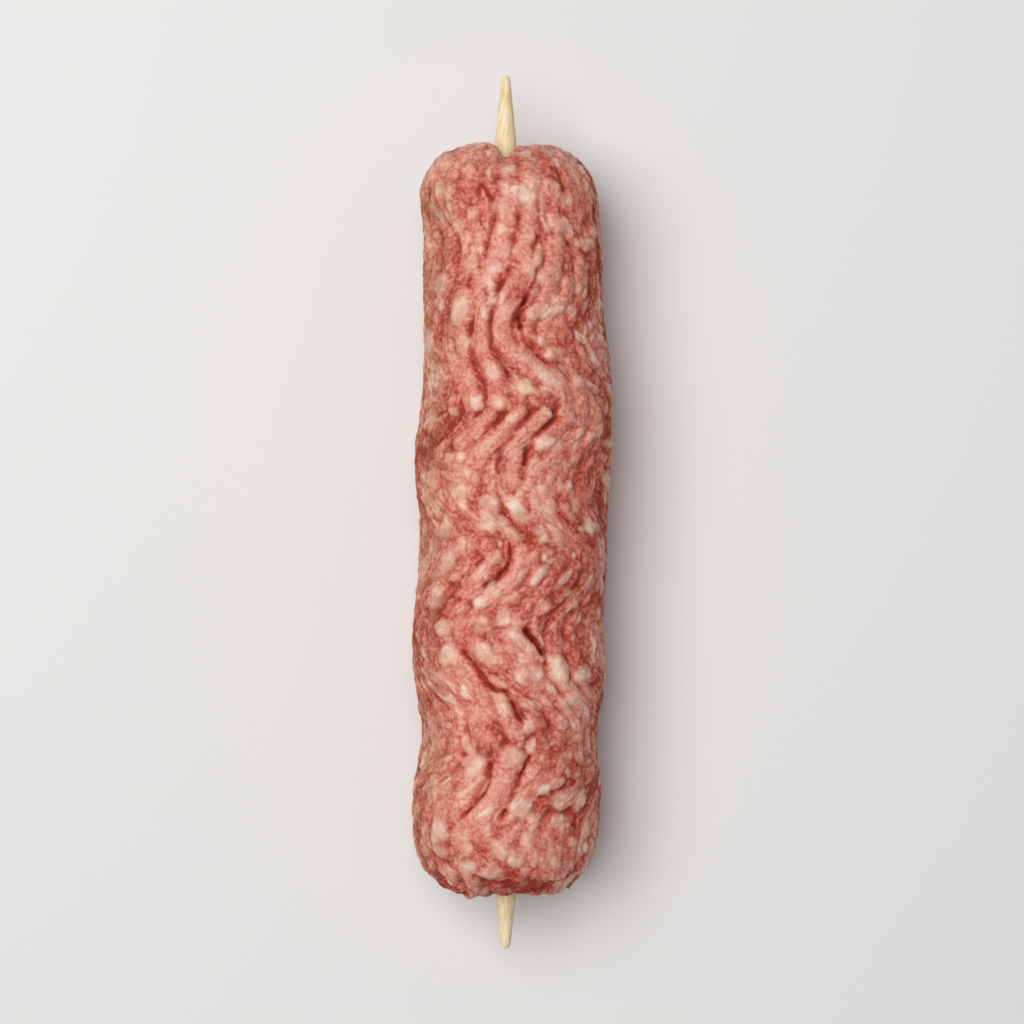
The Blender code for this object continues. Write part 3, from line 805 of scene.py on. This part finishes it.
def what_the_finish_reads(log):
    """What the finish of the mince needs to know at each point."""
    patches = ripple(89, *DRIED_PATCHES, log.unfolded, DRIED_PATCH_STRETCH)
    dried = smooth_step(DRIED_FROM, DRIED_FULLY, -log.across) * (DRIED_SHARE + DRIED_VARIETY * patches)
    dried *= smooth_step(RIM_SHARE, 1.0, log.share)
    dried_end = smooth_step(DRIED_END_FROM, DRIED_END_FULLY, FAR_END - log.along)
    return {
        "unfolded": log.unfolded,
        # How far each point is sunk below what is round it; the finish paints the hollows with shade
        "cavity": (log.relief - blurred(log.relief, HOLLOW_AROUND, HOLLOW_ALONG)) / MM,
        "crevice": log.crevice,
        "fat": log.fat,
        "tone": log.tone,
        "flank": 1 - smooth_step(FLANK_FULLY, FLANK_ENDS, log.upward),
        "dried": np.maximum(dried, DRIED_END * dried_end),
    }


def grid_faces(rings, columns):
    """Faces of a closed grid of rings, with a fan to a pole at each end."""
    faces = []
    near_pole, far_pole = rings * columns, rings * columns + 1
    last = (rings - 1) * columns
    for column in range(columns):
        following = (column + 1) % columns
        faces.append((near_pole, following, column))
        faces.append((far_pole, last + column, last + following))
        for start in range(0, last, columns):
            above = start + columns
            faces.append((start + column, start + following, above + following, above + column))
    return faces


def linked(name, mesh, material):
    """A new object for a mesh, smoothly shaded and with its finish."""
    thing = bpy.data.objects.new(name, mesh)
    bpy.context.scene.collection.objects.link(thing)
    mesh.shade_smooth()
    mesh.materials.append(material)
    return thing


def mince_log(material):
    """The log of mince, as one closed mesh."""
    log = bare_log()
    lay_strands(log)
    lay_top_strands(log)
    cut_crevices(log)
    set_fat_pieces(log)
    lay_threads(log)
    pack_grains(log)
    points = shaped(log)
    rings, columns = points.shape[:2]
    poles = [points[0].mean(axis=0), points[-1].mean(axis=0)]
    vertices = np.concatenate((points.reshape(-1, 3), poles))
    mesh = bpy.data.meshes.new("mince_log")
    mesh.from_pydata(vertices.tolist(), [], grid_faces(rings, columns))
    for name, values in what_the_finish_reads(log).items():
        vector = values.ndim == 3
        flat = values.reshape(-1, 3) if vector else values.reshape(-1)
        flat = np.concatenate((flat, [values[0].mean(axis=0), values[-1].mean(axis=0)]))
        attribute = mesh.attributes.new(name, "FLOAT_VECTOR" if vector else "FLOAT", "POINT")
        attribute.data.foreach_set("vector" if vector else "value", flat.astype(np.float32).ravel())
    piece = linked("mince_log", mesh, material)
    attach(piece, BODY)
    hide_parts("mince")


# Points round the stick and along it, and the fibres that stand out of its surface
STICK_SIDES = 64
STICK_RINGS = 200
FIBRE_HEIGHT = 0.02 * MM


def stick_radius(along):
    """The stick's radius at a place along it, measured from its middle."""
    half = STICK_LENGTH / 2
    profile = (
        (-half, TIP_RADIUS - TIP_ROUNDING),
        (TIP_ROUNDING - half, TIP_RADIUS),
        (NEAR_TAPER - half, TAPER_SHOULDER),
        (NEAR_TAPER + TAPER_EASE - half, STICK_RADIUS),
        (half - FAR_TAPER - TAPER_EASE, STICK_RADIUS),
        (half - FAR_TAPER, TAPER_SHOULDER),
        (half - TIP_ROUNDING, TIP_RADIUS),
        (half, TIP_RADIUS - TIP_ROUNDING),
    )
    places, radii = zip(*profile)
    return np.interp(along, places, radii)


def bamboo_stick(material):
    """The stick: a rod with fine lengthwise fibres, whittled to a blunt tip at each end."""
    half = STICK_LENGTH / 2
    inner = np.linspace(TIP_ROUNDING - half, half - TIP_ROUNDING, STICK_RINGS)
    along = np.concatenate(((-half,), inner, (half,)))
    turn = np.arange(STICK_SIDES) / STICK_SIDES * math.tau
    turn, along = np.meshgrid(turn, along)
    draw = np.random.default_rng(71)
    fibres = np.zeros_like(turn)
    for turns in (5, 9, 14, 19, 23):
        drift = draw.uniform(-1, 1) * math.tau / STICK_LENGTH
        fibres += np.sin(turns * turn + drift * along + draw.uniform(0, math.tau))
    radius = stick_radius(along) - FIBRE_HEIGHT * (1 + fibres / 5)
    x = radius * np.cos(turn) + STICK_MIDDLE.x
    z = radius * np.sin(turn) + STICK_MIDDLE.z
    points = np.stack((x, along, z), axis=-1).reshape(-1, 3)
    faces = [tuple(range(STICK_SIDES)), tuple(range(len(points) - 1, len(points) - 1 - STICK_SIDES, -1))]
    for ring in range(STICK_RINGS + 1):
        for side in range(STICK_SIDES):
            a = ring * STICK_SIDES + side
            b = ring * STICK_SIDES + (side + 1) % STICK_SIDES
            faces.append((b, a, a + STICK_SIDES, b + STICK_SIDES))
    mesh = bpy.data.meshes.new("bamboo_stick")
    mesh.from_pydata(points.tolist(), [], faces)
    stick = linked("bamboo_stick", mesh, material)
    mesh.set_sharp_from_angle(angle=math.radians(50))
    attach(stick, BODY)
    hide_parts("stick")


def colour(hex_value):
    """An sRGB hex colour as linear RGBA."""
    shares = [int(hex_value[i : i + 2], 16) / 255 for i in (1, 3, 5)]
    return (*(s / 12.92 if s <= 0.04045 else ((s + 0.055) / 1.055) ** 2.4 for s in shares), 1.0)


def add(tree, kind, settings=None, inputs=None, stops=()):
    """A node of that kind with its settings, and with its stops where it is a ramp of colours.

    Each input gets a value, or a link from an output or from another node's first output.
    """
    node = tree.nodes.new(kind)
    for name, value in (settings or {}).items():
        setattr(node, name, value)
    for socket, value in (inputs or {}).items():
        source = value.outputs[0] if isinstance(value, bpy.types.Node) else value
        if isinstance(source, bpy.types.NodeSocket):
            tree.links.new(source, node.inputs[socket])
        else:
            node.inputs[socket].default_value = source
    for place, _ in stops[1:-1]:
        node.color_ramp.elements.new(place)
    for number, (place, hex_value) in enumerate(stops):
        node.color_ramp.elements[number].position = place
        node.color_ramp.elements[number].color = colour(hex_value)
    return node


# Settings that several nodes share, and the sockets of a node that mixes colours
MULTIPLY = {"operation": "MULTIPLY"}
MULTIPLY_ADD = {"operation": "MULTIPLY_ADD"}
SMOOTHLY = {"interpolation_type": "SMOOTHSTEP"}
MIX_COLOURS = {"data_type": "RGBA", "clamp_factor": True}
MIX_FACTOR, MIX_A, MIX_B, MIX_RESULT = 0, 6, 7, 2


def new_material(name):
    """An empty material and its node tree."""
    material = bpy.data.materials.new(name)
    material.use_nodes = True
    material.node_tree.nodes.clear()
    return material, material.node_tree


# Colours of the mince: flesh from red and lean to pale with smeared fat, the fat itself from dull to
# clean, flesh that has dried in the air, the red with painted shade beside a crevice, and the painted shade
# in it
FLESH_COLOURS = (
    (0.0, "#993B2E"),
    (0.15, "#AE4B3C"),
    (0.32, "#C76655"),
    (0.5, "#D88471"),
    (0.68, "#E29E89"),
    (0.9, "#EDBAA3"),
)
FAT_COLOURS = ((0.35, "#DEAC96"), (0.5, "#EBC5AE"), (0.65, "#F4DAC2"))
DRIED_COLOURS = ((0.2, "#7A4632"), (0.45, "#AE765C"), (0.7, "#D9B296"))
RED_SHADE_BESIDE_CREVICE = "#9C3328"
PAINTED_SHADE_IN_CREVICE = "#641812"

# How much of each shows at the most
FAT_SHOWS = 0.92
MEMBRANES_SHOW = 0.4
DRIED_SHOWS = 0.56
CREVICE_SHOWS = 0.6


def raw_mince():
    """Raw mince: lean muscle and fat, cut by the plate into strands and pressed with wet hands.

    It gives the eye a soft pinkish red with a faint wet gloss. The pressed crests are pale where fat has
    smeared, the grooves stay red and are darkened with painted shade, and cream grains of fat lie
    everywhere along the strands.
    """
    material, tree = new_material("raw_mince")

    # What the log knows at each point
    known = {}
    for name in ("cavity", "crevice", "fat", "tone", "flank", "dried"):
        known[name] = add(tree, "ShaderNodeAttribute", {"attribute_name": name}).outputs["Fac"]
    unfolded = add(tree, "ShaderNodeAttribute", {"attribute_name": "unfolded"}).outputs["Vector"]
    here = add(tree, "ShaderNodeTexCoord").outputs["Object"]

    # Blotches of smeared fat, granules of muscle, specks on them, and membranes that run with the strands.
    # Real specks are 0.3 mm and real membranes are thinner still. Both are drawn as coarse as they need to
    # be to show
    blotch = 2.2 * MM
    granule = 1.1 * MM
    speck = 0.6 * MM
    membrane, membrane_length = 0.7 * MM, 3.0 * MM
    blotches = add(tree, "ShaderNodeTexNoise", {}, {"Vector": here, "Scale": 1 / blotch, "Detail": 1.5})
    specks = add(tree, "ShaderNodeTexNoise", {}, {"Vector": here, "Scale": 1 / speck, "Detail": 1.0})
    cells = {"feature": "DISTANCE_TO_EDGE"}
    granules = add(tree, "ShaderNodeTexVoronoi", cells, {"Vector": here, "Scale": 1 / granule})
    scale = (1 / membrane, 1 / membrane_length, 1 / membrane)
    lengthwise = add(tree, "ShaderNodeMapping", {}, {"Vector": unfolded, "Scale": scale})
    fibres = add(tree, "ShaderNodeTexNoise", {}, {"Vector": lengthwise, "Scale": 1.0, "Detail": 2.0})

    # Each spread smoothly over the range that it works in
    spread = {}
    for name, pattern, low, high, to_low, to_high in (
        ("blotches", blotches, 0.3, 0.7, -1.0, 1.0),
        ("specks", specks, 0.3, 0.7, -1.0, 1.0),
        ("granules", granules, 0.0, 0.2, -1.0, 0.3),
        ("domes", granules, 0.0, 0.3, 0.0, 1.0),
        ("membranes", fibres, 0.5, 0.75, 0.0, 1.0),
        # How much painted shade fills a crevice
        ("depths", known["crevice"], 0.35, 0.9, 0.0, 0.7),
        ("roughness", specks, 0.3, 0.7, 0.2, 0.4),
    ):
        limits = {"Value": pattern, "From Min": low, "From Max": high, "To Min": to_low, "To Max": to_high}
        spread[name] = add(tree, "ShaderNodeMapRange", SMOOTHLY, limits)

    # Flesh is paler on crests than in hollows, partly from smeared fat and partly as painted shade in the
    # hollows and at the granules' edges, and it has painted shade down the flanks
    paleness = 0.5
    for value, weight in (
        # Painted shade in the hollows, partly smeared fat on the crests
        (known["cavity"], 0.42),
        # Painted shade down the flanks
        (known["flank"], -0.09),
        (known["tone"], 0.38),
        (spread["blotches"], 0.08),
        # Painted shade at the granules' edges
        (spread["granules"], 0.05),
        (spread["specks"], 0.11),
    ):
        paleness = add(tree, "ShaderNodeMath", MULTIPLY_ADD, {0: value, 1: weight, 2: paleness})
    flesh = add(tree, "ShaderNodeValToRGB", {}, {"Fac": paleness}, FLESH_COLOURS)

    # Fat lies on it in grains, and on the flanks in faint membranes too
    fat_grains = add(tree, "ShaderNodeMath", MULTIPLY, {0: known["fat"], 1: FAT_SHOWS})
    membranes = add(tree, "ShaderNodeMath", MULTIPLY, {0: known["flank"], 1: MEMBRANES_SHOW})
    membranes = add(tree, "ShaderNodeMath", MULTIPLY, {0: spread["membranes"], 1: membranes})
    fatty = add(tree, "ShaderNodeMath", {"operation": "MAXIMUM"}, {0: fat_grains, 1: membranes})
    fat = add(tree, "ShaderNodeValToRGB", {}, {"Fac": blotches}, FAT_COLOURS)

    # Where it has dried it is tan and streaky, beside crevices it is dark red with painted shade, and in
    # them it has painted shade
    streaks = add(tree, "ShaderNodeMath", MULTIPLY, {0: paleness, 1: 0.55})
    streaks = add(tree, "ShaderNodeMath", MULTIPLY_ADD, {0: fibres, 1: 0.45, 2: streaks})
    dried_flesh = add(tree, "ShaderNodeValToRGB", {}, {"Fac": streaks}, DRIED_COLOURS)
    dried = add(tree, "ShaderNodeMath", MULTIPLY, {0: known["dried"], 1: DRIED_SHOWS})
    crevice_red_and_shade = add(tree, "ShaderNodeMath", MULTIPLY, {0: known["crevice"], 1: CREVICE_SHOWS})
    skin = flesh
    for share, layer in (
        (fatty, fat),
        (dried, dried_flesh),
        # Painted shade and red beside crevices
        (crevice_red_and_shade, colour(RED_SHADE_BESIDE_CREVICE)),
        # Painted shade in crevices
        (spread["depths"], colour(PAINTED_SHADE_IN_CREVICE)),
    ):
        mix = add(tree, "ShaderNodeMix", MIX_COLOURS, {MIX_FACTOR: share, MIX_A: skin, MIX_B: layer})
        skin = mix.outputs[MIX_RESULT]

    # Fine bumps of specks and granules, with a wet gloss on the pale crests and hardly any in the crevices
    bumps = add(tree, "ShaderNodeMath", MULTIPLY, {0: specks, 1: 0.5})
    bumps = add(tree, "ShaderNodeMath", MULTIPLY_ADD, {0: spread["domes"], 1: 0.5, 2: bumps})
    wet = add(tree, "ShaderNodeMath", MULTIPLY_ADD, {0: known["crevice"], 1: -0.5, 2: paleness})
    wet = add(tree, "ShaderNodeMath", MULTIPLY_ADD, {0: known["flank"], 1: -0.2, 2: wet})
    limits = {"Value": wet, "From Min": 0.1, "From Max": 0.5, "To Min": 0.0, "To Max": 0.4}
    relief = {"Strength": 0.5, "Distance": 0.2 * MM, "Height": bumps}
    surface = {
        "Base Color": skin,
        "Roughness": spread["roughness"],
        "IOR": 1.38,
        "Specular IOR Level": add(tree, "ShaderNodeMapRange", SMOOTHLY, limits),
        "Subsurface Weight": 0.3,
        "Subsurface Radius": (1.0, 0.4, 0.25),
        "Subsurface Scale": 1.2 * MM,
        "Normal": add(tree, "ShaderNodeBump", {}, relief),
    }
    shader = add(tree, "ShaderNodeBsdfPrincipled", {}, surface)
    add(tree, "ShaderNodeOutputMaterial", {}, {"Surface": shader})
    return material


def bamboo():
    """Split bamboo, turned to a rod and left bare.

    It gives the eye a dry pale yellow with straight darker fibres, a little rough and hardly glossy. Each
    is as wide as a real bundle of fibres.
    """
    fibre, fibre_length = 0.22 * MM, 30 * MM
    material, tree = new_material("bamboo")
    here = add(tree, "ShaderNodeTexCoord").outputs["Object"]
    scale = (1 / fibre, 1 / fibre_length, 1 / fibre)
    lengthwise = add(tree, "ShaderNodeMapping", {}, {"Vector": here, "Scale": scale})
    fibres = add(tree, "ShaderNodeTexNoise", {}, {"Vector": lengthwise, "Scale": 1.0, "Detail": 3.0})
    limits = {"Value": fibres, "From Min": 0.35, "From Max": 0.7}
    darker = add(tree, "ShaderNodeMapRange", SMOOTHLY, limits)
    colours = {MIX_FACTOR: darker, MIX_A: colour("#F8E6C0"), MIX_B: colour("#E2C28B")}
    relief = {"Strength": 0.35, "Distance": 0.05 * MM, "Height": fibres}
    surface = {
        "Base Color": add(tree, "ShaderNodeMix", MIX_COLOURS, colours).outputs[MIX_RESULT],
        "Roughness": 0.55,
        "IOR": 1.45,
        "Normal": add(tree, "ShaderNodeBump", {}, relief),
    }
    shader = add(tree, "ShaderNodeBsdfPrincipled", {}, surface)
    add(tree, "ShaderNodeOutputMaterial", {}, {"Surface": shader})
    return material


def pale_board():
    """Matt white laminate for the floor, plain and soft."""
    material, tree = new_material("pale_board")
    surface = {"Base Color": colour("#E8E7E5"), "Roughness": 0.7}
    shader = add(tree, "ShaderNodeBsdfPrincipled", {}, surface)
    add(tree, "ShaderNodeOutputMaterial", {}, {"Surface": shader})
    return material


# The studio
FLOOR_SIZE = 6.0
LAMP_PLACE = (-0.3, 0.16, 0.92)
LAMP_SIZE = 0.8
LAMP_POWER = 9.3
ROOM_LIGHT = 0.2


def floor():
    """The pale floor that the log lies on."""
    bpy.ops.mesh.primitive_plane_add(size=FLOOR_SIZE)
    board = bpy.context.object
    board.name = "floor"
    board.data.materials.append(pale_board())


def lamp(name, place, size, power):
    """A soft square lamp that faces the middle of the log."""
    light = bpy.data.lights.new(name, "AREA")
    light.shape = "SQUARE"
    light.size = size
    light.energy = power
    thing = bpy.data.objects.new(name, light)
    bpy.context.scene.collection.objects.link(thing)
    thing.location = place
    aim = STICK_MIDDLE - thing.location
    thing.rotation_euler = aim.to_track_quat("-Z", "Y").to_euler()


def studio():
    """A large soft lamp above the upper left, and an even pale room."""
    lamp("lamp", LAMP_PLACE, LAMP_SIZE, LAMP_POWER)
    room = bpy.data.worlds.new("room")
    room.use_nodes = True
    room.node_tree.nodes["Background"].inputs["Color"].default_value = colour("#FFFFFF")
    room.node_tree.nodes["Background"].inputs["Strength"].default_value = ROOM_LIGHT
    bpy.context.scene.world = room
    bpy.context.scene.view_settings.view_transform = "Standard"


# The camera looks straight down, with the stick upright in the picture
LENS = 85.0
SENSOR = 36.0
VIEW_HEIGHT = 176 * MM


def camera():
    """A camera over the middle of the whole."""
    eye = bpy.data.cameras.new("camera")
    eye.lens = LENS
    eye.sensor_width = SENSOR
    thing = bpy.data.objects.new("camera", eye)
    bpy.context.scene.collection.objects.link(thing)
    middle = (cad_low + cad_high) / 2
    thing.location = (middle.x, middle.y, middle.z + VIEW_HEIGHT * LENS / SENSOR)
    bpy.context.scene.camera = thing


mince_log(raw_mince())
bamboo_stick(bamboo())
floor()
studio()
camera()
